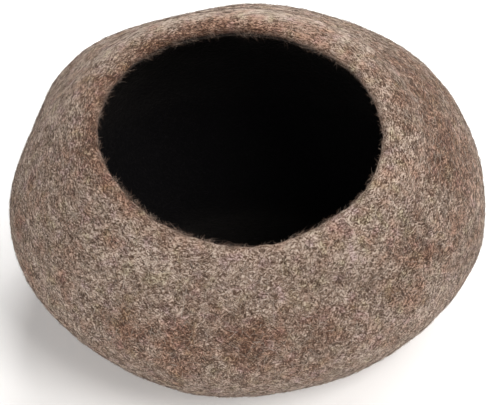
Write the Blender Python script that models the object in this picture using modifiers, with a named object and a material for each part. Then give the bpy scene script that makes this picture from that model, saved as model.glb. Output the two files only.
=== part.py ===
"""Felt cat cave: one seamless pod of wet-felted wool, lying on a level floor.

Metres, +Z up, the floor at z = 0, the mouth leaning towards -Y. A maker felts the pod in one piece
round a flat former, so it is one solid here: an open surface with the outer shape, which Solidify
makes as thick as the felt and Bevel rounds at the mouth. Run it with
blender --background --python part.py
"""

import math

import bmesh
import bpy
from mathutils import Vector, noise

# The pod as it lies, belly and all.
POD_WIDTH = 0.450
POD_DEPTH = 0.414
POD_HEIGHT = 0.275
BELLY_HEIGHT = 0.100  # the level at which the pod is widest
ROOF_FULLNESS = 2.4  # 2 is an ellipse, and more is squarer
ROOF_SET_BACK = 0.020  # how far the top lies behind the middle of the floor
UNDERSIDE_FULLNESS = 1.85
UNDERSIDE_DEPTH = 0.128  # how far under the belly it would reach if the floor did not flatten it
FLOOR_SOFTNESS = 0.008  # the felt leaves the floor in a soft curve this high

# The felt, and the mouth's edge, which is fulled harder and so is thicker.
FELT = 0.007
LIP_FELT = 0.010
LIP_WIDTH = 0.030  # the band round the mouth in which the felt thickens
LIP_ROUNDING = 0.0045

# The mouth: its middle leans forward, and its edge is an uneven oval that turns down into the pod.
MOUTH_LEAN = 24
MOUTH_SIDES = (
    # side of the mouth, reach of the opening from its middle, how far its edge turns down,
    # how far the felt behind the edge stands proud
    ("right", 0.1185, 0.005, 0.0045),
    ("right, a little back", 0.1155, 0.006, 0.0045),
    ("back right", 0.112, 0.008, 0.0040),
    ("back", 0.118, 0.009, 0.0030),
    ("back left", 0.1295, 0.009, 0.0030),
    ("left, a little back", 0.137, 0.008, 0.0025),
    ("left", 0.1355, 0.006, 0.0020),
    ("left, a little forward", 0.125, 0.005, 0.0020),
    ("front left", 0.1185, 0.004, 0.0015),
    ("front", 0.1165, 0.003, 0.0015),
    ("front right", 0.114, 0.004, 0.0020),
    ("right, a little forward", 0.119, 0.004, 0.0035),
)
TURN_WIDTH = 0.018  # the band round the mouth that turns down
CREST_FROM_EDGE = 0.025  # where the felt stands proud most
CREST_WIDTH = 0.014

# Where handling has pushed the felt in or out, measured at the outline and on the near side.
DENTS = (
    # what it is, azimuth in degrees from +X, height, push outwards, radius it fades over
    ("hollow of the left shoulder", 172, 0.172, -0.0045, 0.050),
    ("left of the belly", 188, 0.125, 0.0050, 0.060),
    ("slope behind the mouth on the left", 118, 0.232, -0.0030, 0.055),
    ("left corner of the roof", 152, 0.203, 0.0065, 0.055),
    ("right corner of the roof", 28, 0.203, 0.0030, 0.055),
    ("right shoulder", 4, 0.165, 0.0025, 0.040),
    ("right of the belly", 350, 0.120, 0.0035, 0.050),
    ("right of the belly, to the front", 334, 0.090, -0.0035, 0.050),
    ("front right, low down", 312, 0.055, -0.0025, 0.060),
    ("front, low down", 258, 0.050, 0.0055, 0.080),
)
SWELL = 0.0015  # the slow waviness that hand felting leaves everywhere
SWELL_LENGTH = 0.085

# How finely the surface is divided.
SEGMENTS = 72
LIP_STEPS = (0.0, 0.005, 0.010, 0.015, 0.020, 0.025, 0.031, 0.038, 0.046)
WALL_RINGS = 19
BASE_RINGS = 4
ROUNDING_SEGMENTS = 3
SHARP_CORNER = 50  # degrees; only the lip's two corners turn more than this
EDGE_TRIES = 8  # how often the place of the mouth's edge is worked out closer

MIDDLE = Vector((0, 0, BELLY_HEIGHT))
REACH, TURNED_DOWN, CREST = 1, 2, 3  # the columns of MOUTH_SIDES

FELT_COLOUR = (0.225, 0.165, 0.130, 1.0)
FELT_ROUGHNESS = 0.95


def clear_scene():
    for found in list(bpy.data.objects):
        bpy.data.objects.remove(found, do_unlink=True)


def felt_material():
    material = bpy.data.materials.new("brown_felt")
    material.use_nodes = True
    shader = material.node_tree.nodes["Principled BSDF"]
    shader.inputs["Base Color"].default_value = FELT_COLOUR
    shader.inputs["Roughness"].default_value = FELT_ROUGHNESS
    shader.inputs["Metallic"].default_value = 0.0
    material.diffuse_color = FELT_COLOUR
    return material


def smooth_step(t):
    t = min(max(t, 0.0), 1.0)
    return t * t * (3 - 2 * t)


def half_width(azimuth):
    """The pod's reach from its axis at belly height, in this direction."""
    across = math.cos(azimuth) / (POD_WIDTH / 2)
    along = math.sin(azimuth) / (POD_DEPTH / 2)
    return 1 / math.hypot(across, along)


def half_shape(rise):
    """The fullness and the reach up or down of the half that this rise above the belly is in."""
    if rise > 0:
        return ROOF_FULLNESS, POD_HEIGHT - BELLY_HEIGHT
    return UNDERSIDE_FULLNESS, UNDERSIDE_DEPTH


def wall_point(azimuth, height):
    """The point of the undented pod at this azimuth and height."""
    rise = height - BELLY_HEIGHT
    fullness, reach = half_shape(rise)
    out = half_width(azimuth) * (1 - abs(rise / reach) ** fullness) ** (1 / fullness)
    return Vector((out * math.cos(azimuth), out * math.sin(azimuth), height))


def undented_point(direction):
    """Where the undented pod is met from the middle of its belly, going this way."""
    azimuth = math.atan2(direction.y, direction.x)
    level = math.hypot(direction.x, direction.y)
    fullness, reach = half_shape(direction.z)
    share = (level / half_width(azimuth)) ** fullness + abs(direction.z / reach) ** fullness
    return MIDDLE + direction * share ** (-1 / fullness)


def dent_centres():
    """Each dent's place on the undented pod, its push and its radius."""
    centres = []
    for _, azimuth, height, push, radius in DENTS:
        centres.append((wall_point(math.radians(azimuth), height), push, radius))
    return centres


def rest_on_floor(height):
    """The height once the floor has flattened the underside, in a soft curve."""
    if height >= FLOOR_SOFTNESS:
        return height
    return max(height + FLOOR_SOFTNESS, 0) ** 2 / (4 * FLOOR_SOFTNESS)


def round_the_mouth(turn, column):
    """A column of MOUTH_SIDES at this turn round the mouth, on a smooth curve through its sides."""
    count = len(MOUTH_SIDES)
    place = turn / math.tau * count
    first = math.floor(place)
    t = place - first
    a, b, c, d = (MOUTH_SIDES[(first + step) % count][column] for step in (-1, 0, 1, 2))
    bend = (2 * a - 5 * b + 4 * c - d) * t * t + (3 * b - a - 3 * c + d) * t * t * t
    return b + ((c - a) * t + bend) / 2


def felt_point(direction, from_edge, turn, dents):
    """The outer surface in this direction, at this distance from the mouth's edge."""
    point = undented_point(direction)
    push = SWELL * noise.noise(point / SWELL_LENGTH)
    for centre, depth, radius in dents:
        push += depth * math.exp(-((point - centre).length / radius) ** 2)
    beyond_crest = (from_edge - CREST_FROM_EDGE) / CREST_WIDTH
    push += round_the_mouth(turn, CREST) * math.exp(-(beyond_crest**2))
    turned = max(1 - from_edge / TURN_WIDTH, 0)
    push -= round_the_mouth(turn, TURNED_DOWN) * turned**2
    point += direction * push
    point.z = rest_on_floor(point.z)
    point.y += ROOF_SET_BACK * (point.z / POD_HEIGHT) ** 2
    return point


def mouth_edge(turn):
    """The angle between the mouth's axis and its edge, and the edge's distance from the pod's middle."""
    lean = math.radians(MOUTH_LEAN)
    reach = round_the_mouth(turn, REACH)
    distance = POD_HEIGHT - BELLY_HEIGHT
    for _ in range(EDGE_TRIES):
        angle = math.asin(reach / distance)
        distance = (undented_point(tilted(lean, angle, turn)) - MIDDLE).length
    return angle, distance


def base_angle(azimuth):
    """The angle from straight up, at the belly's middle, to where the flat of the base begins."""
    edge = wall_point(azimuth, -FLOOR_SOFTNESS)
    return math.pi - math.atan2(math.hypot(edge.x, edge.y), BELLY_HEIGHT + FLOOR_SOFTNESS)


def tilted(axis_lean, angle, turn):
    """The direction at this angle from an axis that leans forward from straight up, turned round it."""
    forward, up = -math.sin(axis_lean), math.cos(axis_lean)
    across = math.sin(angle) * math.cos(turn)
    along = math.sin(angle) * math.sin(turn)
    straight = math.cos(angle)
    return Vector((across, straight * forward + along * up, straight * up - along * forward))


def ring_direction(ring, turn):
    """The direction of a ring's point, and its distance from the mouth's edge.

    The first rings follow the mouth's edge. The next ones swing from the mouth's axis to straight up,
    until they are level at the floor, and the last ones close the base.
    """
    mouth_lean = math.radians(MOUTH_LEAN)
    edge, distance = mouth_edge(turn)
    last_lip = len(LIP_STEPS) - 1
    if ring <= last_lip:
        from_edge = LIP_STEPS[ring]
        return tilted(mouth_lean, edge + from_edge / distance, turn), from_edge
    wall = min((ring - last_lip) / WALL_RINGS, 1)
    start = edge + LIP_STEPS[-1] / distance
    wall_end = base_angle(turn)
    angle = start + (wall_end - start) * wall
    from_edge = (angle - edge) * distance
    if wall < 1:
        return tilted(mouth_lean * (1 - smooth_step(wall)), angle, turn), from_edge
    inwards = (ring - last_lip - WALL_RINGS) / BASE_RINGS
    flat = math.atan((1 - inwards) * math.tan(math.pi - wall_end))
    return tilted(0, math.pi - flat, turn), from_edge


def pod_surface():
    """The pod's outer surface, open at the mouth: a sphere whose rings are led over the felt."""
    rings = len(LIP_STEPS) + WALL_RINGS + BASE_RINGS
    shape = bmesh.new()
    bmesh.ops.create_uvsphere(shape, u_segments=SEGMENTS, v_segments=rings, radius=1)
    shape.verts.ensure_lookup_table()
    mouth_pole = max(shape.verts, key=lambda vert: vert.co.z)
    bmesh.ops.delete(shape, geom=[mouth_pole], context="VERTS")
    dents = dent_centres()
    distances = []
    for vert in shape.verts:
        latitude = math.acos(min(max(vert.co.z, -1), 1)) / math.pi
        ring = round(latitude * rings) - 1
        turn = math.atan2(vert.co.y, vert.co.x) % math.tau
        direction, from_edge = ring_direction(ring, turn)
        vert.co = felt_point(direction, from_edge, turn, dents)
        distances.append(from_edge)
    return shape, distances


def thickness_group(shell, distances):
    """A vertex group that Solidify reads: 1 at the mouth's edge, and less where the felt is thinner."""
    group = shell.vertex_groups.new(name="thickness")
    for index, from_edge in enumerate(distances):
        thick = FELT + (LIP_FELT - FELT) * smooth_step(1 - from_edge / LIP_WIDTH)
        group.add([index], thick / LIP_FELT, "REPLACE")
    return group


def felt_shell():
    """The one piece of felt, with its thickness and its rounded lip."""
    shape, distances = pod_surface()
    mesh = bpy.data.meshes.new("felt_shell")
    shape.to_mesh(mesh)
    shape.free()
    mesh.shade_smooth()
    mesh.materials.append(felt_material())
    shell = bpy.data.objects.new("felt_shell", mesh)
    thickness = shell.modifiers.new("felt", "SOLIDIFY")
    thickness.thickness = LIP_FELT
    thickness.offset = -1
    thickness.use_even_offset = True
    thickness.vertex_group = thickness_group(shell, distances).name
    rounding = shell.modifiers.new("lip", "BEVEL")
    rounding.limit_method = "ANGLE"
    rounding.angle_limit = math.radians(SHARP_CORNER)
    rounding.width = LIP_ROUNDING
    rounding.segments = ROUNDING_SEGMENTS
    return shell


def main():
    clear_scene()
    cave = bpy.data.collections.new("felt_cat_cave")
    bpy.context.scene.collection.children.link(cave)
    cave.objects.link(felt_shell())


main()
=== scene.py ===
# %% [markdown]
# # A felt cat cave
#
# A wet-felted pod is one piece of wool. The maker lays carded wool over a flat former in crossing
# layers, brown for the outside over near-black for the inside, wets it with soapy water and rubs it
# until the fibres lock. The mouth is cut while the wool is still soft, the former comes out, and the
# pod is fulled over its own rounded shape until the walls stand up by themselves. The lesson makes
# the same thing: one thick skin with a rounded lip, one heathered finish that turns near-black
# inside, and the loose fibres that lie on the surface and stand off it.

# %% Load the solid that everything is fitted to
import math

import bpy
import numpy as np
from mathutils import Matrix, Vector, noise


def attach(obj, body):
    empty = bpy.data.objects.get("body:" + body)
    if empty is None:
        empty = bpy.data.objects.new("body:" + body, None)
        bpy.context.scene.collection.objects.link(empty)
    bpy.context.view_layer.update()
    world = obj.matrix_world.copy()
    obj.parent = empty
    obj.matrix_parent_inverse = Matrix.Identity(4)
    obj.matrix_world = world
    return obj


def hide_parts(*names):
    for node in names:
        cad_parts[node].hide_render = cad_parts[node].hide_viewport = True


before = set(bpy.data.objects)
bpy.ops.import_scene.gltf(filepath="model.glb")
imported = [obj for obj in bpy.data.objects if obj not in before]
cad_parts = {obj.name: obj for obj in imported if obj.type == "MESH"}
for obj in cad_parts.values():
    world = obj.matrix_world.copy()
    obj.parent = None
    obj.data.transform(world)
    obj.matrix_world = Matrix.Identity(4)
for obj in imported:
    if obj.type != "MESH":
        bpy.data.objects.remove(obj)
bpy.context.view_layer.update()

# %% [markdown]
# ## The pod's shape
#
# Every point of the outside is found in the same way: go from the middle of the belly in some
# direction, and stop where a squarish ellipsoid is met. The roof is fuller than an ellipse and the
# underside is leaner, and the floor flattens it. On top of that come the places where handling has
# pushed the felt in or out. The sizes are those of the solid, in metres, so the fine skin lies in it.

# %% The pod's sizes
POD_WIDTH, POD_DEPTH, POD_HEIGHT = 0.450, 0.414, 0.275
BELLY_HEIGHT = 0.100
ROOF_FULLNESS, UNDERSIDE_FULLNESS = 2.4, 1.85
UNDERSIDE_DEPTH = 0.128
ROOF_SET_BACK = 0.020
FLOOR_SOFTNESS = 0.008
FELT, LIP_FELT, LIP_WIDTH, LIP_ROUNDING = 0.007, 0.010, 0.030, 0.0048
MOUTH_LEAN = math.radians(24)
BELLY = np.array([0, 0, BELLY_HEIGHT])

# %% The mouth, side by side, every 30 degrees round from the right
MOUTH_SIDES = (
    # side of the mouth, reach of the opening, how far its edge turns down, how far the felt
    # behind the edge stands proud, all in metres
    ("right", 0.1185, 0.005, 0.0045),
    ("right, a little back", 0.1155, 0.006, 0.0045),
    ("back right", 0.112, 0.008, 0.0040),
    ("back", 0.118, 0.009, 0.0030),
    ("back left", 0.1295, 0.009, 0.0030),
    ("left, a little back", 0.137, 0.008, 0.0025),
    ("left", 0.1355, 0.006, 0.0020),
    ("left, a little forward", 0.125, 0.005, 0.0020),
    ("front left", 0.1185, 0.004, 0.0015),
    ("front", 0.1165, 0.003, 0.0015),
    ("front right", 0.114, 0.004, 0.0020),
    ("right, a little forward", 0.119, 0.004, 0.0035),
)
REACH, TURNED_DOWN, CREST = 1, 2, 3
TURN_WIDTH, CREST_FROM_EDGE, CREST_WIDTH = 0.018, 0.025, 0.014
LIP_BAND, WALL_LENGTH = 0.046, 0.28  # down the outside: the lip, and from there to the base
FUZZ_ROOM = 0.0023  # the skin's edge leaves this much to the fuzz that stands on it
WANDER = (
    # how far the cut edge wanders in and out, how often in a turn
    (0.0011, 23),
    (0.0010, 61),
    (0.0006, 120),
)


def round_the_mouth(turn, column, sides=MOUTH_SIDES):
    """A column of a table of sides at these turns, on a smooth curve through its rows."""
    values = np.array([side[column] for side in sides])
    place = turn / math.tau * len(values)
    first = np.floor(place).astype(int)
    t = place - first
    a, b, c, d = (values[(first + step) % len(values)] for step in (-1, 0, 1, 2))
    bend = (2 * a - 5 * b + 4 * c - d) * t * t + (3 * b - a - 3 * c + d) * t**3
    return b + ((c - a) * t + bend) / 2


print("the mouth is about", round(2 * np.mean([s[REACH] for s in MOUTH_SIDES]) * 1000), "mm across")

# %% [markdown]
# ## Dents, and the slow unevenness of hand felting
#
# Each dent is a soft bump that fades with distance, kept in a table with a row for each. The first
# rows are in the solid too. The last rows are too shallow for it: a crease and the dull dent beside
# it to the right below the mouth, and the hollow behind the ridge on the right.

# %% Dents
DENTS = (
    # what it is, azimuth in degrees from +X, height, push outwards, radius it fades over
    ("hollow of the left shoulder", 172, 0.172, -0.0045, 0.050),
    ("left of the belly", 188, 0.125, 0.0050, 0.060),
    ("slope behind the mouth on the left", 118, 0.232, -0.0030, 0.055),
    ("left corner of the roof", 152, 0.203, 0.0065, 0.055),
    ("right corner of the roof", 28, 0.203, 0.0030, 0.055),
    ("right shoulder", 4, 0.165, 0.0025, 0.040),
    ("right of the belly", 350, 0.120, 0.0035, 0.050),
    ("right of the belly, to the front", 334, 0.090, -0.0035, 0.050),
    ("front right, low down", 312, 0.055, -0.0025, 0.060),
    ("front, low down", 258, 0.050, 0.0055, 0.080),
    ("crease below the mouth, to the right", 298, 0.197, 0.0026, 0.013),
    ("the same, further down", 303, 0.184, 0.0022, 0.011),
    ("dull dent beside the crease", 300, 0.163, -0.0026, 0.022),
    ("hollow behind the ridge on the right", 354, 0.246, -0.0013, 0.026),
    ("the same, further round", 10, 0.250, -0.0010, 0.026),
)
SWELL, SWELL_LENGTH = 0.0015, 0.085
LUMPS, LUMP_LENGTH = 0.0007, 0.026


def smooth_step(t):
    t = np.clip(t, 0, 1)
    return t * t * (3 - 2 * t)


def noise_at(points, length):
    """Smooth noise from -1 to 1 whose bumps are about this long."""
    return np.array([noise.noise(Vector(point)) for point in points / length])


def nearness(points, centre, radius):
    """1 at the centre, fading smoothly over this radius."""
    return np.exp(-((np.linalg.norm(points - centre, axis=1) / radius) ** 2))


def band(from_edge, middle, width):
    """1 in the middle of a band round the mouth, fading smoothly over its width."""
    return np.exp(-(((from_edge - middle) / width) ** 2))


print(len(DENTS), "dents, the deepest", -1000 * min(dent[3] for dent in DENTS), "mm")


# %% The outer surface in any direction
def half_width(azimuth):
    """From the middle to the widest line, this way."""
    return 1 / np.hypot(np.cos(azimuth) / (POD_WIDTH / 2), np.sin(azimuth) / (POD_DEPTH / 2))


def undented(direction):
    """Distance from the belly's middle to the undented pod."""
    azimuth = np.arctan2(direction[:, 1], direction[:, 0])
    level = np.hypot(direction[:, 0], direction[:, 1])
    up = direction[:, 2] > 0
    fullness = np.where(up, ROOF_FULLNESS, UNDERSIDE_FULLNESS)
    reach = np.where(up, POD_HEIGHT - BELLY_HEIGHT, UNDERSIDE_DEPTH)
    share = (level / half_width(azimuth)) ** fullness + np.abs(direction[:, 2] / reach) ** fullness
    return share ** (-1 / fullness)


def wall_point(azimuth, height):
    """The point of the undented pod at this azimuth and height."""
    rise = height - BELLY_HEIGHT
    fullness = ROOF_FULLNESS if rise > 0 else UNDERSIDE_FULLNESS
    reach = POD_HEIGHT - BELLY_HEIGHT if rise > 0 else UNDERSIDE_DEPTH
    out = half_width(azimuth) * (1 - abs(rise / reach) ** fullness) ** (1 / fullness)
    return np.stack([out * np.cos(azimuth), out * np.sin(azimuth), height + 0 * out], -1)


def tilted(lean, angle, turn):
    """Directions at this angle from an axis that leans forward from straight up."""
    across, along = np.sin(angle) * np.cos(turn), np.sin(angle) * np.sin(turn)
    straight = np.cos(angle)
    return np.stack([
        across,
        along * np.cos(lean) - straight * np.sin(lean),
        straight * np.cos(lean) + along * np.sin(lean),
    ], -1)


def felt_point(direction, from_edge, turn):
    """The outer surface this way from the belly's middle, at this distance from the mouth's edge."""
    point = BELLY + direction * undented(direction)[:, None]
    push = SWELL * noise_at(point, SWELL_LENGTH) + LUMPS * noise_at(point, LUMP_LENGTH)
    for _, azimuth, height, depth, radius in DENTS:
        push += depth * nearness(point, wall_point(math.radians(azimuth), height), radius)
    push += round_the_mouth(turn, CREST) * band(from_edge, CREST_FROM_EDGE, CREST_WIDTH)
    turned = np.clip(1 - from_edge / TURN_WIDTH, 0, 1)
    push -= round_the_mouth(turn, TURNED_DOWN) * turned**2
    point += direction * push[:, None]
    resting = np.clip(point[:, 2] + FLOOR_SOFTNESS, 0, None) ** 2 / (4 * FLOOR_SOFTNESS)
    point[:, 2] = np.where(point[:, 2] < FLOOR_SOFTNESS, resting, point[:, 2])
    point[:, 1] += ROOF_SET_BACK * (point[:, 2] / POD_HEIGHT) ** 2
    return point


# %% [markdown]
# ## Rings of points
#
# A place on the pod is given by its turn round the mouth and by a number that grows from 0 at the
# mouth's edge to 1 at the end of the lip, 2 where the base begins and 3 at the base's middle. Near
# the mouth the rings follow its edge. Further out they swing until they are level at the floor.

# %% From a ring and a turn to a point, and to the way the felt faces there
EDGE_PASSES = 8  # the edge's angle and its distance depend on each other, and settle in a few passes


def mouth_edge(turn):
    """The angle between the mouth's axis and its edge, and the edge's distance from the middle."""
    reach = round_the_mouth(turn, REACH) + FUZZ_ROOM
    for far, often in WANDER:
        place = np.stack([np.cos(turn), np.sin(turn), 0 * turn], -1)
        reach += far * noise_at(place, math.tau / often)
    distance = np.full_like(turn, POD_HEIGHT - BELLY_HEIGHT)
    for _ in range(EDGE_PASSES):
        angle = np.arcsin(reach / distance)
        distance = undented(tilted(MOUTH_LEAN, angle, turn))
    return angle, distance


def outside(ring, turn):
    """Points of the outer surface at these rings and turns."""
    turn = turn % math.tau
    edge, distance = mouth_edge(turn)
    foot = wall_point(turn, -FLOOR_SOFTNESS)
    wall_end = math.pi - np.arctan2(np.hypot(foot[:, 0], foot[:, 1]), BELLY_HEIGHT + FLOOR_SOFTNESS)
    start = edge + LIP_BAND / distance
    wall = np.clip(ring - 1, 0, 1)
    angle = np.where(ring < 1, edge + ring * LIP_BAND / distance, start + (wall_end - start) * wall)
    direction = tilted(MOUTH_LEAN * (1 - smooth_step(wall)), angle, turn)
    flat = np.arctan(np.clip(3 - ring, 0, 1) * np.tan(math.pi - wall_end))
    direction = np.where((ring > 2)[:, None], tilted(0, math.pi - flat, turn), direction)
    return felt_point(direction, (angle - edge) * distance, turn)


def unit(ways):
    """The same ways, each with a length of 1."""
    return ways / np.linalg.norm(ways, axis=-1, keepdims=True)


def slopes(ring, turn):
    """How the outer surface goes for one ring further down, and for one radian further round."""
    small = 1e-3
    inner, outer = np.maximum(ring - small, 0), np.minimum(ring + small, 3 - 2 * small)
    inner = np.minimum(inner, outer - small)
    down = (outside(outer, turn) - outside(inner, turn)) / (outer - inner)[:, None]
    ring = np.minimum(ring, 3 - small)
    return down, (outside(ring, turn + small) - outside(ring, turn - small)) / (2 * small)


def facing(ring, turn):
    """The way that the outer surface faces."""
    down, round_it = slopes(ring, turn)
    return unit(np.cross(down, round_it))


# %% [markdown]
# ## One skin with its own thickness
#
# The section of the felt is drawn once, from the middle of the base up the outside, over the rounded
# lip and down the inside, and then swept round the mouth. Each step of the section says how far it
# is from the mouth's edge and how deep in the felt it lies, from 0 outside to 1 inside.

# %% The section of the felt
TURNS = 384
LIP_RINGS, WALL_RINGS, BASE_RINGS, CAP_STEPS = 14, 84, 10, 9
INSIDE_SHARE = 2 / 3  # the inside doesn't need as many rings


def rings_down(share):
    """Rings from the end of the lip's rounding to the middle of the base."""
    start = LIP_ROUNDING / LIP_BAND
    lip = np.linspace(start, 1, round(LIP_RINGS * share), endpoint=False)
    wall = np.linspace(1, 2, round(WALL_RINGS * share), endpoint=False)
    base = np.linspace(2, 3, round(BASE_RINGS * share), endpoint=False)
    return np.concatenate([lip, wall, base])


outer_rings = rings_down(1)
inner_rings = rings_down(INSIDE_SHARE)
cap = np.linspace(0, math.pi, CAP_STEPS + 2)[1:-1]
section_ring = np.concatenate([
    outer_rings[::-1],
    LIP_ROUNDING / LIP_BAND * (1 - np.sin(cap)),
    inner_rings,
])
section_depth = np.concatenate([0 * outer_rings, (1 - np.cos(cap)) / 2, 0 * inner_rings + 1])
print(len(section_ring), "steps in the section")


# %% Sweep it round the mouth
def felt_thickness(ring):
    """The lip's thickness at its edge, and the wall's further down."""
    from_edge = np.where(ring < 1, ring * LIP_BAND, LIP_BAND + ring)
    return FELT + (LIP_FELT - FELT) * smooth_step(1 - from_edge / LIP_WIDTH)


def in_the_felt(ring, turn, depth):
    """Points at this share of the felt's thickness, and the way that the outside faces there."""
    normal = facing(ring, turn)
    return outside(ring, turn) - normal * (felt_thickness(ring) * depth)[:, None], normal


turn_of = np.arange(TURNS) / TURNS * math.tau
all_rings = np.repeat(section_ring, TURNS)
all_turns = np.tile(turn_of, len(section_ring))
all_depths = np.repeat(section_depth, TURNS)
skin, _ = in_the_felt(all_rings, all_turns, all_depths)
poles, _ = in_the_felt(np.array([3.0, 3.0]), np.zeros(2), np.array([0.0, 1.0]))
poles[0, :2] = poles[1, :2] = 0
poles[:, 2] = 0, FELT
print(f"the felt goes from {skin[:, 2].min():.4f} to {skin[:, 2].max():.4f} m up")


# %% Make the mesh
def in_the_scene(name, data):
    """A new object in the scene, with this mesh, light or camera."""
    made = bpy.data.objects.new(name, data)
    bpy.context.scene.collection.objects.link(made)
    return made


steps = len(section_ring)
grid = np.arange(steps * TURNS).reshape(steps, TURNS)
beside = np.roll(grid, -1, axis=1)
quads = np.stack([grid[:-1], grid[1:], beside[1:], beside[:-1]], -1).reshape(-1, 4)
bottom, top = len(skin), len(skin) + 1
fans = [(bottom, a, b) for a, b in zip(grid[0], beside[0])]
fans += [(top, b, a) for a, b in zip(grid[-1], beside[-1])]
mesh = bpy.data.meshes.new("cave_felt")
mesh.from_pydata([*map(tuple, skin), *map(tuple, poles)], [], [*map(tuple, quads), *fans])
mesh.update()
mesh.shade_smooth()
cave = in_the_scene("cave_felt", mesh)
print("the skin has", len(mesh.vertices), "points and", 2 * len(quads) + len(fans), "triangles")

# %% [markdown]
# ## The skin laid out flat
#
# For its colours to be baked into a flat picture, each point of the skin needs a place on it. The
# section's steps go up the picture, by their real length, and the turns go across it. A row of
# triangles at either end closes it at the base's middle.

# %% Lay it out
OUTSIDE_SHARE = 0.75  # of the flat picture; the near-black inside needs less
POLE_ROOM = 0.02  # the height of the row of triangles at either end
step_length = np.linalg.norm(np.diff(skin.reshape(steps, TURNS, 3), axis=0), axis=2).mean(1)
outer_steps = len(outer_rings) + CAP_STEPS // 2
across_flat = np.concatenate([
    step_length[:outer_steps] / step_length[:outer_steps].sum() * OUTSIDE_SHARE,
    step_length[outer_steps:] / step_length[outer_steps:].sum() * (1 - OUTSIDE_SHARE),
])
v = POLE_ROOM + (1 - 2 * POLE_ROOM) * np.concatenate([[0], np.cumsum(across_flat)])
u = 1 - np.arange(TURNS + 1) / TURNS
u0, u1 = np.tile(u[:-1], steps - 1), np.tile(u[1:], steps - 1)
v0, v1 = np.repeat(v[:-1], TURNS), np.repeat(v[1:], TURNS)
quad_map = np.stack([u0, v0, u0, v1, u1, v1, u1, v0], -1)
a, b = u[:-1], u[1:]
low, high = v[0] + 0 * a, v[-1] + 0 * a
bottom_map = np.stack([(a + b) / 2, 0 * a, a, low, b, low], -1)
top_map = np.stack([(a + b) / 2, 0 * a + 1, b, high, a, high], -1)
flat_map = np.concatenate([quad_map.ravel(), bottom_map.ravel(), top_map.ravel()])
mesh.uv_layers.new(name="OFBake").uv.foreach_set("vector", flat_map.astype(np.float32))
print("the skin laid flat goes from", flat_map.min(), "to", flat_map.max())

# %% [markdown]
# ## What the wool looks like from place to place
#
# The maker lays the wool by hand, so its colour wanders: near-black inside, a rusty band beside the
# mouth, rusty and dull patches low on the front. Light and shade are painted into the tone as well:
# a painted highlight on the crest behind the mouth, along the top at the back and on the crease
# below the mouth, painted light at the front of the cut edge and low down where the floor throws
# light back, painted shade in the dull dent and on and behind the ridge on the right, and inside,
# where the material makes the near-black wool darker still as painted shade. At the back the
# near-black wool comes up over the lip, and at the front, where it was rubbed most, the brown wool
# goes further in. Felt that was rubbed less shows coarser fibres. These slow changes, and the way
# that the fibres run round the mouth, are worked out here for each point of the skin and kept with
# the mesh. The fine fibres come from the material.

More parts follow.
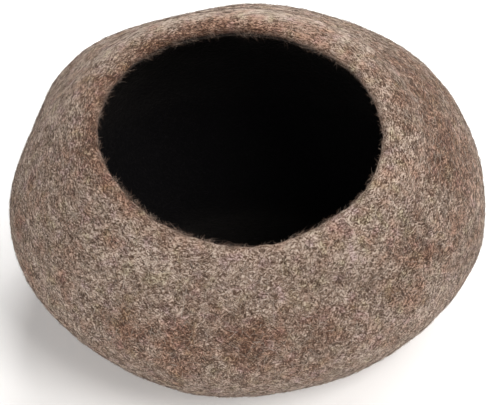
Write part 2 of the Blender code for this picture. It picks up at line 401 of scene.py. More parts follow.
# %% Where the wool is rusty, where it is dull or pale, and where light and shade are painted
PATCHES = (
    # what it is, azimuth in degrees from +X, height, how rusty, how much paler, radius; the paler
    # column is the wool's own tone, and in the rows marked so it is painted light and shade
    ("low front, left", 239, 0.126, 0.55, -0.14, 0.019),
    ("low front, left of the middle", 254, 0.129, 0.45, -0.16, 0.013),
    ("low front, middle", 270, 0.130, 0.70, -0.22, 0.019),
    ("low front, across", 262, 0.125, 0.10, -0.12, 0.030),
    ("low front, right of the middle", 288, 0.134, 0.30, -0.18, 0.020),
    ("under the belly, left", 250, 0.096, 0.25, -0.03, 0.032),
    ("under the belly, right", 285, 0.094, 0.20, -0.03, 0.032),
    ("under the belly, far right", 301, 0.092, -0.10, 0.12, 0.024),
    # painted light: these two lighten the felt near the floor, where the floor throws light back
    ("near the floor, front left", 250, 0.045, 0.05, 0.16, 0.034),
    ("near the floor, front right", 285, 0.045, 0.05, 0.16, 0.034),
    # painted shade: darkens the felt in the dull dent
    ("dull dent", 300, 0.162, 0.00, -0.16, 0.012),
    ("left of the dent", 292, 0.165, -0.45, 0.08, 0.020),
    ("right of the crease", 317, 0.172, 0.15, -0.20, 0.016),
    ("right side, low", 311, 0.138, 0.35, -0.03, 0.015),
    ("right side, upright streak", 320, 0.166, 0.35, 0.00, 0.008),
    ("right shoulder", 349, 0.201, 0.32, -0.14, 0.028),
    # painted shade: these four darken the felt on and behind the ridge on the right; their rust is the
    # wool's own
    ("behind the ridge, right", 352, 0.240, 0.48, -0.13, 0.024),
    ("on the ridge, right", 341, 0.246, 0.10, -0.18, 0.020),
    ("right slope", 343, 0.222, 0.40, -0.12, 0.022),
    ("right corner, near the outline", 7, 0.211, 0.15, -0.14, 0.022),
    ("right flank", 346, 0.190, 0.50, -0.08, 0.032),
    ("right flank, further up", 335, 0.205, 0.20, -0.12, 0.024),
    ("right flank, forward", 330, 0.158, 0.35, -0.06, 0.022),
    ("right side", 340, 0.150, 0.10, -0.08, 0.026),
    ("right of the middle, below the mouth", 289, 0.181, 0.00, -0.08, 0.016),
    ("right corner of the roof", 10, 0.230, 0.48, -0.10, 0.036),
    ("left edge", 198, 0.139, 0.60, -0.05, 0.012),
    ("low on the left, near the outline", 205, 0.104, 0.40, 0.03, 0.022),
    ("the same, further down", 214, 0.078, 0.20, 0.16, 0.020),
    ("left side", 217, 0.176, 0.15, 0.00, 0.014),
    ("left corner of the roof", 172, 0.240, 0.20, 0.02, 0.030),
    ("beside the mouth, left", 207, 0.234, 0.10, -0.12, 0.018),
    # painted highlight: lightens the crease where it rises
    ("crease", 298, 0.197, -0.10, 0.28, 0.012),
    ("below the mouth, left", 244, 0.180, -0.30, 0.08, 0.026),
    ("beside the lip, front left", 239, 0.207, -0.10, 0.14, 0.014),
    ("left of that", 233, 0.160, -0.20, 0.08, 0.018),
    ("below the mouth, middle", 268, 0.185, -0.30, 0.02, 0.040),
    # painted light: lightens the felt low on the right, where the floor throws light back
    ("low on the right, near the outline", 318, 0.105, 0.00, 0.21, 0.030),
    # the back, where the same patches are a guess
    ("back, right", 68, 0.165, 0.50, -0.14, 0.032),
    ("back, middle", 98, 0.125, 0.55, -0.16, 0.028),
    ("back, left", 124, 0.175, 0.40, -0.10, 0.030),
    ("back, low on the left", 146, 0.105, 0.35, -0.12, 0.026),
    ("back, low on the right", 42, 0.110, 0.40, -0.10, 0.030),
    # painted light, as at the front: lightens the felt near the floor at the back
    ("back, near the floor", 84, 0.050, 0.10, 0.14, 0.036),
    ("back, below the crest", 105, 0.215, -0.25, 0.14, 0.034),
    ("right, low", 8, 0.085, 0.30, -0.10, 0.026),
    ("left, low", 176, 0.075, 0.30, -0.10, 0.026),
)


def patches(points):
    """How rusty the patches make these points, and how much paler by tone and painted light."""
    rust, paler = np.zeros(len(points)), np.zeros(len(points))
    for _, azimuth, height, rusty, pale_and_painted_light, radius in PATCHES:
        centre = wall_point(math.radians(azimuth), height)
        centre[1] += ROOF_SET_BACK * (centre[2] / POD_HEIGHT) ** 2
        share = nearness(points, centre, radius)
        rust += rusty * share
        paler += pale_and_painted_light * share
    return rust, paler


points = np.concatenate([skin, poles])
rust, paler = patches(points)
print(f"{len(PATCHES)} patches make the wool up to {rust.max():.2f} rustier")

# %% The wool's tone, and the light and shade painted into it, on the way out from the mouth
LIP_TONES_AND_PAINTED_LIGHT = (
    # side of the mouth, painted light and shade on the cut edge, on the crest and on the felt beyond
    # it (how much lighter), how rusty the edge is, and how much of the fibre lies round the mouth
    ("right", 0.10, 0.02, -0.12, 0.05, 1.3),
    ("right, a little back", 0.18, -0.04, -0.12, 0.20, 1.6),
    ("back right", 0.22, 0.72, 0.18, 0.25, 1.7),
    ("back", -0.14, 0.98, 0.90, 0.55, 1.5),
    ("back left", -0.36, 0.56, 0.62, 0.55, 1.3),
    ("left, a little back", -0.22, 0.18, 0.18, 0.40, 1.3),
    ("left", -0.22, -0.02, 0.02, 0.35, 1.2),
    ("left, a little forward", -0.06, 0.04, 0.00, 0.20, 0.7),
    ("front left", 0.06, 0.12, 0.00, 0.05, 0.3),
    ("front", 0.12, 0.03, 0.00, 0.00, 0.0),
    ("front right", 0.18, 0.06, 0.00, 0.00, 0.0),
    ("right, a little forward", 0.14, 0.06, -0.04, 0.00, 0.7),
)
PAINTED_LIGHT_AT_EDGE, PAINTED_LIGHT_ON_CREST, PAINTED_LIGHT_BEYOND, EDGE_RUST, LIES_ROUND = 1, 2, 3, 4, 5
PAINTED_LIGHT_BANDS = (
    # column of the table above, the band's distance from the edge, its width; the bands paint light and
    # shade
    (PAINTED_LIGHT_AT_EDGE, 0.002, 0.011),
    (PAINTED_LIGHT_ON_CREST, 0.027, 0.013),
    (PAINTED_LIGHT_BEYOND, 0.062, 0.022),
)
RUST_BAND = 0.003, 0.009  # distance from the edge, width


def distance_down(ring):
    """About how far a ring is from the mouth's edge, over the outside."""
    return np.where(ring < 1, ring * LIP_BAND, LIP_BAND + (ring - 1) * WALL_LENGTH)


def lip_tone(column, turn):
    """A column of LIP_TONES_AND_PAINTED_LIGHT at these turns."""
    return round_the_mouth(turn, column, LIP_TONES_AND_PAINTED_LIGHT)


from_edge = distance_down(all_rings)
rust[: len(skin)] += lip_tone(EDGE_RUST, all_turns) * band(from_edge, *RUST_BAND)
# painted light and shade: these bands lighten the tone on the crest and beyond it at the back and at
# the front of the cut edge, and darken it where their values are below 0
for column, middle, width in PAINTED_LIGHT_BANDS:
    paler[: len(skin)] += lip_tone(column, all_turns) * band(from_edge, middle, width)
print(f"with the bands, rust goes from {rust.min():.2f} to {rust.max():.2f}")

# %% Which way the fibres lie, how coarse they are, and where the near-black wool begins
COMBED_BAND, COMBED_PULL = 0.11, 1.4  # how far out the wool is combed round the mouth, how strongly
RUBBED_MOST, RUBBED_OVER = (math.radians(272), 0.19), 0.13  # the front, below the mouth
RUBBED_LEAST, LEAST_OVER = (math.radians(333), 0.14), 0.09  # the right side
COARSER, COARSEST = 0.38, 0.36  # how much more the fibres' tones differ in felt that was rubbed less
RUBBED_LIP = math.radians(290)
BLACK_AT_THE_BACK, BROWN_AT_THE_FRONT = 0.39, 0.15  # shares of the felt's thickness


def rubbed_lip(turn):
    """1 at the front of the lip, a little to the right, where hands rub it most, down to 0."""
    return np.clip(np.cos(turn - RUBBED_LIP), 0, 1)


def keep_on(target, name, values):
    """Keeps a number or a direction for each point of the mesh, for its material to read."""
    values = np.asarray(values, np.float32)
    kind = "FLOAT_VECTOR" if values.ndim == 2 else "FLOAT"
    attribute = target.data.attributes.new(name, kind, "POINT")
    attribute.data.foreach_set("vector" if values.ndim == 2 else "value", values.ravel())


_, way_round = slopes(all_rings, all_turns)
lies_round = COMBED_PULL * lip_tone(LIES_ROUND, all_turns) * band(from_edge, 0, COMBED_BAND)
rubbed_most = nearness(points, wall_point(*RUBBED_MOST), RUBBED_OVER)
rubbed_least = nearness(points, wall_point(*RUBBED_LEAST), LEAST_OVER)
coarse = 1 + COARSER * (1 - rubbed_most) + COARSEST * rubbed_least
on_the_lip = all_depths > 0
black_over_edge = BLACK_AT_THE_BACK * np.clip(np.sin(all_turns), 0, 1) * on_the_lip
brown_over_edge = BROWN_AT_THE_FRONT * rubbed_lip(all_turns) * on_the_lip * (all_depths < 1)
inside = all_depths + black_over_edge - brown_over_edge
keep_on(cave, "coarse", coarse)
keep_on(cave, "rust", rust)
keep_on(cave, "paler", paler)
keep_on(cave, "grain", np.concatenate([unit(way_round) * lies_round[:, None], np.zeros((2, 3))]))
keep_on(cave, "inside", np.concatenate([inside, [0, 1]]))
print(f"felt that was rubbed less has tones that differ up to {coarse.max():.2f} times as much")

# %% [markdown]
# ## Writing a finish as sums
#
# A material in Blender is a graph of nodes, which is hard to read as code. This small class wraps one
# socket, so that a sum such as `1 - mask * 0.5` adds its own Math nodes. Every other kind of node is
# made by one method.

# %% A value that changes over the felt, and the finish it belongs to
class Changing:
    """One socket of a finish: a number, a direction or a colour that changes over the felt."""

    def __init__(self, finish, socket):
        self.finish, self.socket = finish, socket

    def work(self, operation, *others):
        """One Math node, or one VectorMath node as soon as a direction is among its inputs."""
        sides = [self, *others]
        vector = any(isinstance(side, Changing) and side.socket.type == "VECTOR" for side in sides)
        if vector:
            sides = [(side, side, side) if isinstance(side, (int, float)) else side for side in sides]
        kind = "VectorMath" if vector else "Math"
        return self.finish.node(kind, {"operation": operation}, dict(enumerate(sides)))

    def __add__(self, other):
        return self.work("ADD", other)

    __radd__ = __add__

    def __mul__(self, other):
        return self.work("MULTIPLY", other)

    __rmul__ = __mul__

    def __sub__(self, other):
        return self.work("SUBTRACT", other)

    def __rsub__(self, other):
        return (self * -1) + other

    def dot(self, other):
        """How far two directions agree."""
        settings = {"operation": "DOT_PRODUCT"}
        return self.finish.node("VectorMath", settings, {0: self, 1: other}, "Value")

    def beside(self, output):
        """Another output of the node that this one comes from."""
        return Changing(self.finish, self.socket.node.outputs[output])

    def unit(self):
        """The same direction, with a length of 1."""
        return self.finish.node("VectorMath", {"operation": "NORMALIZE"}, {0: self})

    def between(self, low, high):
        """0 below low and 1 above high, in a smooth curve."""
        settings = {"interpolation_type": "SMOOTHSTEP"}
        inputs = {"Value": self, "From Min": low, "From Max": high}
        return self.finish.node("MapRange", settings, inputs)


MIX_FIRST, MIX_SECOND, MIX_RESULT = 6, 7, 2  # the places of a Mix node's sockets for colours


class Finish:
    """A material, and the one way in which nodes are added to it."""

    def __init__(self, name):
        self.material = bpy.data.materials.new(name)
        self.material.use_nodes = True
        self.tree = self.material.node_tree
        self.shader = self.tree.nodes["Principled BSDF"]

    def feed(self, socket, value):
        """Links a socket to what changes over the felt, or sets it to what is the same all over."""
        if isinstance(value, Changing):
            self.tree.links.new(value.socket, socket)
        else:
            socket.default_value = value

    def node(self, kind, settings=None, inputs=None, output=0):
        """Adds a node with these settings and inputs, and gives the output that is used."""
        made = self.tree.nodes.new("ShaderNode" + kind)
        for name, value in (settings or {}).items():
            if name == "stops":
                while len(made.color_ramp.elements) < len(value):
                    made.color_ramp.elements.new(1)
                for element, (place, colour) in zip(made.color_ramp.elements, value):
                    element.position, element.color = place, (*colour, 1)
            else:
                setattr(made, name, value)
        for name, value in (inputs or {}).items():
            self.feed(made.inputs[name], value)
        return Changing(self, made.outputs[output])

    def blend(self, share, first, second, how="MIX"):
        """The first colour, going to the second as share goes from 0 to 1."""
        first, second = (c if isinstance(c, Changing) else (*c, 1) for c in (first, second))
        settings = {"data_type": "RGBA", "blend_type": how}
        inputs = {"Factor": share, MIX_FIRST: first, MIX_SECOND: second}
        return self.node("Mix", settings, inputs, MIX_RESULT)

    def as_direction(self, colour):
        """A colour's three numbers as a direction, which sums can then use."""
        return self.node("VectorMath", {"operation": "ADD"}, {0: colour, 1: (0, 0, 0)})

    def kept(self, name, output="Fac"):
        """What was kept with the mesh under this name."""
        return self.node("Attribute", {"attribute_name": name}, {}, output)

    def paint(self, **sockets):
        """Feeds the shader's own sockets."""
        for name, value in sockets.items():
            self.feed(self.shader.inputs[name.replace("_", " ")], value)


# %% [markdown]
# ## Heathered wool
#
# Heather is a mixture: each fibre has its own tone, from umber through taupe to oatmeal, and each
# lock of fibres lies its own way, mostly round the mouth where the lip was rubbed smooth. A Voronoi
# pattern divides the felt into little locks and hands each one a direction. Noise that is stretched
# along that direction makes the lock's fibres. Three such layers of different sizes are added up, so
# that no lock's edge shows, and the coordinates are bent by a gentle noise first, because wool is
# crimped. Small clouds of rusty, olive and mauve wool lie in it as they came off the cards. Lengths
# are in millimetres here, as wool is measured.

# %% The colours of the wool, and how its fibres lie
TONES = (
    (0.00, (0.058, 0.034, 0.023)),
    (0.30, (0.132, 0.088, 0.065)),
    (0.55, (0.212, 0.150, 0.115)),
    (0.78, (0.315, 0.235, 0.187)),
    (1.00, (0.490, 0.400, 0.335)),
)
RUST_WOOL = (0.85, 0.665, 0.585)
GREEN_WOOL = (0.95, 1.00, 0.88)
MAUVE_WOOL = (0.98, 0.93, 1.04)
# the inside's black wool, made far darker than wool is, as painted shade inside the cave
BLACK_WOOL_AND_PAINTED_SHADE, BLACK_FIBRE_AND_PAINTED_SHADE = (0.0012, 0.0012, 0.0019), (0.0075, 0.0065, 0.0078)
LAYERS = (
    # length of a lock, width of a fibre, both in millimetres, how much longer than wide, weight
    (4.2, 0.52, 4.6, 1.0),
    (3.4, 0.42, 4.2, 1.0),
    (7.0, 0.80, 5.5, 0.7),
)
ANOTHER_LAYER, ANOTHER_LOCK = 41, 97  # each reads the noise this much further on, so none repeats
MIDDLE_TONE, TONE_CONTRAST, CLOUD_CONTRAST = 0.51, 1.95, 0.80
RUST_ALL_OVER, RUST_CONTRAST = 0.29, 1.5
CRIMP, CRIMP_LENGTH = 3.0, 3.4  # how far the fibres are bent aside, over what length
TONE_CLOUD = 9, 300, 3.0  # the clouds' width, where the noise is read, how detailed it is
RUST_CLOUD, WIDE_RUST_CLOUD, HUE_CLOUD = (15, 500, 1.0), (40, 0, 2.0), (13, 700, 1.0)
GREENER, MAUVER = (0.05, 0.26), (-0.05, -0.24)  # where in the noise each wool begins and is full
EDGE_CLOUDS, EDGE_FIBRES = 0.25, 0.30  # how unevenly the brown wool ends


def lock_layer(finish, place, facing_way, grain, lock, fibre, longer):
    """Stretched noise, from about -0.5 to 0.5, that lies another way in each lock."""
    cells = finish.node("TexVoronoi", {"feature": "F1"}, {"Vector": place, "Scale": 1 / lock})
    own = finish.as_direction(cells.beside("Color"))
    own_way = own * 2 - 1
    way = own_way + grain * own_way.dot(grain).work("SIGN")
    way = (way - facing_way * way.dot(facing_way)).unit()
    offset = place - cells.beside("Position")
    drawn = offset - way * (offset.dot(way) * (1 - 1 / longer)) + own * ANOTHER_LOCK
    fibres = finish.node("TexNoise", {}, {"Vector": drawn, "Scale": 0.5 / fibre, "Detail": 1.0})
    return fibres - 0.5


def cloud_of(finish, at, size, elsewhere, detail):
    """Noise from about -0.5 to 0.5 whose clouds are this many millimetres across."""
    inputs = {"Vector": at + elsewhere, "Scale": 1 / size, "Detail": detail}
    return finish.node("TexNoise", {}, inputs) - 0.5


def tone_of_fibres(finish, place):
    """The layers of locks added up."""
    facing_way = finish.node("NewGeometry", {}, {}, "Normal")
    grain = finish.kept("grain", "Vector")
    tone = 0
    for number, (lock, fibre, longer, weight) in enumerate(LAYERS):
        further_on = place + ANOTHER_LAYER * number
        layer = lock_layer(finish, further_on, facing_way, grain, lock, fibre, longer)
        tone = layer * weight + tone
    return tone


def brown_wool(finish, at, place, tone, small_cloud):
    """The heather of the outside, with its clouds of rusty, olive and mauve wool."""
    contrast = (tone * TONE_CONTRAST + small_cloud * CLOUD_CONTRAST) * finish.kept("coarse")
    # the kept paler values hold the wool's own paler and duller patches and the painted light and shade
    shade = contrast + finish.kept("paler") + MIDDLE_TONE
    wool = finish.node("ValToRGB", {"stops": TONES}, {"Fac": shade})
    redder = finish.kept("rust") + cloud_of(finish, at, *WIDE_RUST_CLOUD)
    redder = redder + cloud_of(finish, place, *RUST_CLOUD) * RUST_CONTRAST + RUST_ALL_OVER
    wool = finish.blend(redder.between(0.05, 0.95), wool, RUST_WOOL, "MULTIPLY")
    hue = cloud_of(finish, place, *HUE_CLOUD)
    wool = finish.blend(hue.between(*GREENER), wool, GREEN_WOOL, "MULTIPLY")
    return finish.blend(hue.between(*MAUVER), wool, MAUVE_WOOL, "MULTIPLY")


def heather():
    """Brown wool that ends in near-black wool and painted shade where the mesh says inside."""
    finish = Finish("heathered_wool")
    at = finish.node("TexCoord", {}, {}, "Object") * 1000
    crimp_noise = {"Vector": at, "Scale": 1 / CRIMP_LENGTH, "Detail": 1.0}
    bend = finish.as_direction(finish.node("TexNoise", {}, crimp_noise, "Color"))
    place = at + bend * CRIMP
    tone = tone_of_fibres(finish, place)
    small_cloud = cloud_of(finish, place, *TONE_CLOUD)
    wool = brown_wool(finish, at, place, tone, small_cloud)
    black_and_painted_shade = finish.blend((tone + 0.5).between(0.45, 0.95), BLACK_WOOL_AND_PAINTED_SHADE, BLACK_FIBRE_AND_PAINTED_SHADE)
    edge = finish.kept("inside") + small_cloud * EDGE_CLOUDS + tone * EDGE_FIBRES
    colour = finish.blend(edge.between(0.38, 0.75), wool, black_and_painted_shade)
    bump = finish.node("Bump", {}, {"Strength": 0.6, "Distance": 0.0010, "Height": tone})
    finish.paint(Base_Color=colour, Normal=bump, Roughness=0.95, Sheen_Weight=0.13)
    finish.paint(Sheen_Roughness=0.5, Sheen_Tint=(1.0, 0.90, 0.80, 1), Specular_IOR_Level=0.12)
    return finish.material


cave.data.materials.append(heather())
print("the heather is made with", len(cave.active_material.node_tree.nodes), "nodes")

# %% Fit it to the solid
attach(cave, "root")
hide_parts("felt_shell")

# %% [markdown]
# ## Loose fibres
#
# Felt never ends in a clean line. Loose fibres lie over the surface or curl a little above it, some
# stand up from it and soften the outline, and the cut edge of the mouth is full of short ones. Each is
# a thin spindle: a path of a few points, with a tip at either end and a small triangle round each
# point between. All the fibres of a kind are one mesh, and each carries its own tone.

# %% The points of a fibre, and the faces between them
CORNERS = 3
CLEAR_OF_FLOOR = 0.0003
ASKEW = 0.3, 0.1, 0.2  # added to a direction, so that it isn't parallel to what it is crossed with


def spindles(paths, widths):
    """For each path a tip, a triangle round each of its inner points, and another tip."""
    paths[:, :, 2] = np.maximum(paths[:, :, 2], CLEAR_OF_FLOOR)
    along = unit(np.gradient(paths, axis=1))
    ahead = unit(paths[:, -1] - paths[:, 0])
    across = unit(np.cross(ahead, np.roll(ahead, 1, axis=1) + ASKEW))[:, None]
    across = unit(np.cross(along, across))
    upright = np.cross(along, across)
    corners = []
    for corner in range(CORNERS):
        angle = math.tau * corner / CORNERS
        out = across * math.cos(angle) + upright * math.sin(angle)
        corners.append(paths + out * widths[:, None, None] / 2)
    middle = np.stack(corners, 2)[:, 1:-1].reshape(len(paths), -1, 3)
    return np.concatenate([paths[:, :1], middle, paths[:, -1:]], 1)


def spindle_faces(steps):
    """The faces of a spindle with this many steps, and their corners laid out flat."""
    triangles = steps - 2
    end = 1 + CORNERS * triangles
    last = end - CORNERS
    v = 1 / (steps - 1)
    faces, spots = [], []
    for corner in range(CORNERS):
        left, right = corner, (corner + 1) % CORNERS
        u0, u1 = corner / CORNERS, (corner + 1) / CORNERS
        middle = (u0 + u1) / 2
        faces += [(0, 1 + right, 1 + left), (end, last + left, last + right)]
        spots += [(middle, 0), (u1, v), (u0, v), (middle, 1), (u0, 1 - v), (u1, 1 - v)]
        for step in range(triangles - 1):
            low = 1 + CORNERS * step
            high = low + CORNERS
            faces.append((low + left, low + right, high + right, high + left))
            v0, v1 = (step + 1) * v, (step + 2) * v
            spots += [(u0, v0), (u1, v0), (u1, v1), (u0, v1)]
    return faces, np.array(spots)


print("a fibre of four steps has", len(spindle_faces(4)[0]), "faces")


# %% A piece of fibres from their paths
def laid_out(count, spots):
    """The flat places of this many fibres, each in a square of its own."""
    a_side = math.ceil(math.sqrt(count))
    square = np.stack([np.arange(count) % a_side, np.arange(count) // a_side], -1)
    return (square[:, None] + 0.1 + 0.8 * spots) / a_side


def fibre_piece(name, paths, widths, tones, finish):
    """One mesh with a fibre for each path."""
    count, steps = paths.shape[:2]
    points = spindles(paths, widths)
    each = points.shape[1]
    faces, spots = spindle_faces(steps)
    all_faces = []
    for start in range(0, count * each, each):
        all_faces += [tuple(start + corner for corner in face) for face in faces]
    fibre_mesh = bpy.data.meshes.new(name)
    fibre_mesh.from_pydata(points.reshape(-1, 3).tolist(), [], all_faces)
    fibre_mesh.shade_smooth()
    flat = laid_out(count, spots).astype(np.float32)
    fibre_mesh.uv_layers.new(name="OFBake").uv.foreach_set("vector", flat.ravel())
    piece = in_the_scene(name, fibre_mesh)
    keep_on(piece, "tone", np.repeat(tones, each))
    fibre_mesh.materials.append(finish)
    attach(piece, "root")
    print(name, "has", count, "fibres,", sum(len(face) - 2 for face in all_faces), "triangles")
    return piece


def loose_wool(name, tones):
    """The colours that the fibres of a piece are picked from, each by its own tone."""
    finish = Finish(name)
    colour = finish.node("ValToRGB", {"stops": tones}, {"Fac": finish.kept("tone")})
    finish.paint(Base_Color=colour, Roughness=0.8, Specular_IOR_Level=0.2)
    return finish.material


# %% Where fibres start, and how they go on over the felt
rng = np.random.default_rng(8)
SCATTER_RINGS, SCATTER_TURNS = 41, 97


def scatter(count, first_ring, last_ring):
    """Rings and turns of this many places, spread evenly over the felt between two rings."""
    rings = np.linspace(first_ring, last_ring, SCATTER_RINGS)
    turns = np.linspace(0, math.tau, SCATTER_TURNS)
    ring, turn = np.meshgrid(rings, turns, indexing="ij")
    spread = outside(ring.ravel(), turn.ravel()).reshape(*ring.shape, 3)
    down, round_it = np.diff(spread, axis=0)[:, :-1], np.diff(spread, axis=1)[:-1]
    area = np.linalg.norm(np.cross(down, round_it), axis=2)
    cell = rng.choice(area.size, count, p=area.ravel() / area.sum())
    row, column = np.divmod(cell, area.shape[1])
    ring = first_ring + (row + rng.random(count)) * (rings[1] - rings[0])
    return ring, (column + rng.random(count)) * (turns[1] - turns[0])


def over_the_felt(ring, turn, step):
    """The ring and turn that this step over the surface leads to."""
    down, round_it = slopes(ring, turn)
    dd, rr = (down * down).sum(1), (round_it * round_it).sum(1)
    dr = (down * round_it).sum(1)
    a, b = (step * down).sum(1), (step * round_it).sum(1)
    full = dd * rr - dr * dr
    return ring + (a * rr - b * dr) / full, turn + (b * dd - a * dr) / full


# %% Fibres that lie on the felt
FIBRES_COMBED, COMBED_OVER = 1.1, 0.13  # how strongly fibres are combed at most, how far out
SPREAD, SPREAD_LOST = 1.6, 1.2  # how far fibres stray from the way round, and how much less if combed
LYING_RINGS = 0.12, 2.0  # between these rings they stay
LYING_PLACES = -0.5, -0.17, 0.17, 0.5  # the points of a path, in shares of its length
BOW, WAVE = 0.18, 0.06  # how far a path strays sideways, in shares of its length
SUNK = -0.6  # of the lift: how high the ends lie, so that they go into the felt


def lying_paths(count, rings, lengths, lift, curl=1.0, places=LYING_PLACES):
    """Paths over the felt between two rings, mostly round the mouth where the lip was rubbed."""
    ring, turn = scatter(count, *rings)
    down, round_it = (unit(slope) for slope in slopes(ring, turn))
    combed = np.clip(lip_tone(LIES_ROUND, turn), 0, FIBRES_COMBED)
    combed *= band(distance_down(ring), 0, COMBED_OVER)
    angle = rng.normal(0, 1, count) * (SPREAD - SPREAD_LOST * combed)
    way = round_it * np.cos(angle)[:, None] + down * np.sin(angle)[:, None]
    length = rng.uniform(*lengths, count)
    bow, wave = rng.normal(0, BOW, count), rng.normal(0, WAVE, count)
    aside = np.cross(facing(ring, turn), way)
    path = []
    for t in places:
        off = curl * (bow * (0.25 - t * t) + wave * math.sin(math.tau * t)) * length
        step = way * (t * length)[:, None] + aside * off[:, None]
        here_ring, here_turn = over_the_felt(ring, turn, step)
        here = np.clip(here_ring, *LYING_RINGS), here_turn
        height = lift * (rng.uniform(0.5, 1.5, count) if abs(t) < 0.5 else SUNK)
        path.append(outside(*here) + facing(*here) * np.reshape(height, (-1, 1)))
    return np.stack(path, 1)


LYING = 16000
LYING_BETWEEN, LYING_LIFT = (0.16, 1.9), 0.00025
LYING_PIECES = (
    # name, shortest and longest fibre, least and most width
    ("lying_fibres", (0.004, 0.010), (0.00020, 0.00038)),
    ("long_lying_fibres", (0.006, 0.014), (0.00014, 0.00030)),
)
LYING_TONES = (
    (0.00, (0.026, 0.016, 0.012)),
    (0.30, (0.085, 0.050, 0.036)),
    (0.50, (0.190, 0.132, 0.102)),
    (0.75, (0.345, 0.268, 0.216)),
    (1.00, (0.560, 0.475, 0.400)),
)
for name, lengths, thick in LYING_PIECES:
    lying = lying_paths(LYING, LYING_BETWEEN, lengths, LYING_LIFT)
    widths, tones = rng.uniform(*thick, LYING), rng.random(LYING)
    wool = loose_wool(name + "_wool", LYING_TONES)
    fibre_piece(name, lying, widths, tones, wool)

# %% Fibres that stand up from the felt
ROOT_DEPTH = 0.0003
STANDING_CURL = 0.15  # how far a tip curls away, in shares of its fibre's length


def standing_paths(root, up, around, lengths, steepness):
    """Paths that leave the felt in the direction up, lean over in the direction around and curl."""
    count = len(root)
    length = rng.uniform(*lengths, count)[:, None]
    curl = rng.normal(0, STANDING_CURL, (count, 3))
    path = []
    for t in np.linspace(0, 1, 4):
        rise = up * steepness * (t - 0.35 * t * t) * length
        lean = around * (t * 0.6 + 0.4 * t * t) * length
        path.append(root - up * ROOT_DEPTH + rise + lean + curl * (t * t) * length)
    return np.stack(path, 1)


STANDING, STANDING_BETWEEN = 13000, (0.14, 2.05)
STANDING_LENGTHS, STANDING_WIDTHS = (0.0018, 0.0045), (0.00010, 0.00020)
STEEPNESS = 0.25, 0.8
STANDING_TONES = (
    (0.00, (0.095, 0.060, 0.042)),
    (0.50, (0.285, 0.208, 0.157)),
    (1.00, (0.575, 0.478, 0.392)),
)
ring, turn = scatter(STANDING, *STANDING_BETWEEN)
root, up = outside(ring, turn), facing(ring, turn)
down, round_it = (unit(slope) for slope in slopes(ring, turn))
angle = rng.uniform(0, math.tau, STANDING)[:, None]
around = round_it * np.cos(angle) + down * np.sin(angle)
steepness = rng.uniform(*STEEPNESS, (STANDING, 1))
standing = standing_paths(root, up, around, STANDING_LENGTHS, steepness)
widths, tones = rng.uniform(*STANDING_WIDTHS, STANDING), rng.random(STANDING)
wool = loose_wool("standing_wool", STANDING_TONES)
standing_fibres = fibre_piece("standing_fibres", standing, widths, tones, wool)

# %% Where the fuzz of the cut edge stands, and how it leans
ONTO_THE_LIP = 0.25  # rings further out for each radian short of the rounding
FLATTEST_FUZZ = math.radians(315)
LEAN_LOST, LOST_REACH = 0.65, 0.25  # how much less the fuzz leans in there, how far round that goes


def on_the_cut_edge(turn, round_the_cap):
    """Roots on the rounded edge, the way out from it, the way round it and the way in to the mouth."""
    on_cap = np.clip(round_the_cap, 0, math.pi)
    ring = LIP_ROUNDING / LIP_BAND * (1 - np.sin(on_cap)) + np.clip(-round_the_cap, 0, 1) * ONTO_THE_LIP
    root, normal = in_the_felt(ring, turn, (1 - np.cos(on_cap)) / 2)
    down, round_it = (unit(slope) for slope in slopes(ring, turn))
    up = unit(normal * np.cos(on_cap)[:, None] - down * np.sin(on_cap)[:, None])
    return root, up, round_it, -down


def lean_in(turn):
    """How far the fuzz leans in to the mouth: less at the front and on the right."""
    return 1 - LEAN_LOST * np.clip(LOST_REACH + np.cos(turn - FLATTEST_FUZZ), 0, 1)[:, None]


# %% Short fuzz, in all directions
SHORT_FUZZ, SHORT_LENGTHS, SHORT_ROOTS = 9000, (0.0008, 0.0024), (-0.5, 2.4)
SHORT_TONE, DARKER_FURTHER_IN, DARKER_AT_THE_BACK = 0.62, 0.32, 0.22
turn = rng.uniform(0, math.tau, SHORT_FUZZ)
round_the_cap = rng.uniform(*SHORT_ROOTS, SHORT_FUZZ)
root, up, round_it, inward = on_the_cut_edge(turn, round_the_cap)
around = round_it * rng.choice([-1, 1], SHORT_FUZZ)[:, None] * rng.uniform(0.2, 1.0, (SHORT_FUZZ, 1))
around = around + inward * rng.uniform(0.0, 0.5, (SHORT_FUZZ, 1)) * lean_in(turn)
steepness = rng.uniform(0.3, 0.9, (SHORT_FUZZ, 1))
short_fuzz = standing_paths(root, up, around, SHORT_LENGTHS, steepness)
short_tone = rng.normal(SHORT_TONE, 0.2, SHORT_FUZZ)
short_tone -= DARKER_FURTHER_IN * np.clip(round_the_cap - 0.7, 0, 2)
short_tone -= DARKER_AT_THE_BACK * np.clip(np.sin(turn), 0, 1)
print("short fuzz:", len(short_fuzz), "fibres")

# %% Tufts of longer hairs that lean together
TUFTS, IN_A_TUFT, TUFT_LENGTHS, TUFT_ROOTS = 520, 6, (0.0030, 0.0070), (0.0, 1.3)
TUFT_TONE = 0.58
tuft = np.repeat(np.arange(TUFTS), IN_A_TUFT)
turn = rng.uniform(0, math.tau, TUFTS)[tuft] + rng.normal(0, 0.010, len(tuft))
round_the_cap = rng.uniform(*TUFT_ROOTS, TUFTS)[tuft] + rng.normal(0, 0.2, len(tuft))
root, up, round_it, inward = on_the_cut_edge(turn, round_the_cap)
lean = rng.normal(0, 0.8, TUFTS)[tuft] + rng.normal(0, 0.5, len(tuft))
around = round_it * lean[:, None] + inward * rng.uniform(0.2, 0.9, (len(tuft), 1)) * lean_in(turn)
steepness = rng.uniform(*STEEPNESS, (len(tuft), 1))
tufts = standing_paths(root, up, around, TUFT_LENGTHS, steepness)
tuft_tone = rng.normal(TUFT_TONE, 0.18, len(tuft))
print("tufts:", len(tufts), "hairs")

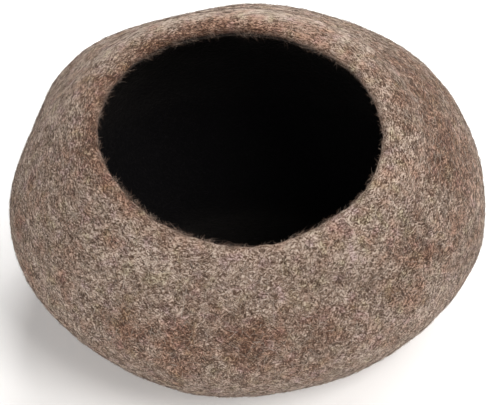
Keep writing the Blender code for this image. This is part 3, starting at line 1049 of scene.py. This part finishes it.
# %% Both are one piece
SHORT_WIDTHS, TUFT_WIDTHS = (0.00010, 0.00022), (0.00009, 0.00019)
EDGE_TONES = (
    (0.00, (0.012, 0.009, 0.008)),
    (0.35, (0.108, 0.058, 0.039)),
    (0.65, (0.210, 0.150, 0.116)),
    (1.00, (0.420, 0.345, 0.290)),
)
edge_fuzz = fibre_piece(
    "edge_fuzz",
    np.concatenate([short_fuzz, tufts]),
    np.concatenate([rng.uniform(*SHORT_WIDTHS, SHORT_FUZZ), rng.uniform(*TUFT_WIDTHS, len(tuft))]),
    np.clip(np.concatenate([short_tone, tuft_tone]), 0, 1),
    loose_wool("edge_wool", EDGE_TONES),
)

# %% Loose curls, which lie a little above the felt
CURLS, CURLS_BETWEEN, CURL_LENGTHS = 7500, (0.35, 1.95), (0.007, 0.015)
CURL_LIFT, CURLINESS, CURL_PLACES = 0.0009, 2.0, (-0.5, -0.26, 0.0, 0.26, 0.5)
CURL_WIDTHS = 0.00014, 0.00026
CURL_TONES = (
    (0.00, (0.110, 0.078, 0.060)),
    (0.50, (0.310, 0.245, 0.200)),
    (1.00, (0.600, 0.520, 0.450)),
)
curls = lying_paths(CURLS, CURLS_BETWEEN, CURL_LENGTHS, CURL_LIFT, CURLINESS, CURL_PLACES)
widths, tones = rng.uniform(*CURL_WIDTHS, CURLS), rng.random(CURLS)
loose_curls = fibre_piece("loose_curls", curls, widths, tones, loose_wool("curl_wool", CURL_TONES))

# %% [markdown]
# ## The wool that it takes
#
# The felt is one hollow sheet. It was laid on both sides of a flat former of about 0.52 by 0.50 m,
# with rounded corners, so opened out it is a strip twice as wide, of about 0.42 square metres.

# %% [markdown]
# ## The studio
#
# The pod stands on a white floor that glows faintly, so that it stays white. The main soft light
# comes from the front right, high up. Two more behind the pod make the fibres of its outline shine,
# and weaker ones on the left, on the right and in front open the shadows.

# %% The floor
def studio_floor():
    floor_mesh = bpy.data.meshes.new("studio_floor")
    far = 8.0
    corners = [(-far, -far, 0), (far, -far, 0), (far, far, 0), (-far, far, 0)]
    floor_mesh.from_pydata(corners, [], [(0, 1, 2, 3)])
    floor = in_the_scene("studio_floor", floor_mesh)
    paper = Finish("white_paper")
    paper.paint(Base_Color=(0.92, 0.92, 0.92, 1), Roughness=0.9)
    paper.paint(Emission_Color=(1.0, 1.0, 1.0, 1), Emission_Strength=0.14)
    floor_mesh.materials.append(paper.material)


studio_floor()

# %% The lights
NEARLY_WHITE = 1.0, 0.985, 0.97
LIGHTS = (
    # name, azimuth and height in degrees, distance, size, watts, colour
    ("key", -48, 46, 2.4, 1.1, 41, (1.0, 0.975, 0.95)),
    ("back", 42, 38, 2.6, 2.0, 44, NEARLY_WHITE),
    ("high_back", 88, 58, 2.4, 1.1, 36, NEARLY_WHITE),
    ("low_left", 212, 8, 2.4, 0.8, 24, NEARLY_WHITE),
    ("front", -108, 32, 2.3, 0.8, 9, NEARLY_WHITE),
    ("low_right", -16, 5, 2.4, 0.8, 7, NEARLY_WHITE),
)
LIT_HEIGHT = 0.12  # the lights look at the pod's middle
ROOM_LIGHT = 0.06


def aim(thing, target, way, distance):
    """Stands a light or a camera this far from its target and turns it there."""
    thing.location = Vector(target) + way * distance
    thing.rotation_euler = way.to_track_quat("Z", "Y").to_euler()


def soft_light(name, azimuth, height, distance, size, watts, colour):
    """A square light that looks at the pod from this azimuth and height, both in degrees."""
    light = bpy.data.lights.new(name, "AREA")
    light.size, light.energy, light.color = size, watts, colour
    flat, up = math.radians(azimuth), math.radians(height)
    way = Vector((math.cos(up) * math.cos(flat), math.cos(up) * math.sin(flat), math.sin(up)))
    aim(in_the_scene(name, light), (0, 0, LIT_HEIGHT), way, distance)


for light_row in LIGHTS:
    soft_light(*light_row)
world = bpy.data.worlds.new("white_room")
bpy.context.scene.world = world
world.use_nodes = True
world.node_tree.nodes["Background"].inputs["Color"].default_value = (1.0, 0.99, 0.98, 1)
world.node_tree.nodes["Background"].inputs["Strength"].default_value = ROOM_LIGHT
print(len(LIGHTS), "soft lights:", ", ".join(light_row[0] for light_row in LIGHTS))

# %% The camera
def studio_camera(target, rise, distance, lens):
    """A camera that looks at the target from the front, from this far up and away."""
    camera = bpy.data.cameras.new("camera")
    camera.sensor_width = 36.0
    camera.lens = lens
    stand = in_the_scene("camera", camera)
    aim(stand, target, Vector((0, -math.cos(rise), math.sin(rise))), distance)
    bpy.context.scene.camera = stand


studio_camera(target=(-0.0033, 0, 0.1158), rise=math.radians(40), distance=1.4, lens=106.6)
bpy.context.scene.view_settings.view_transform = "Standard"
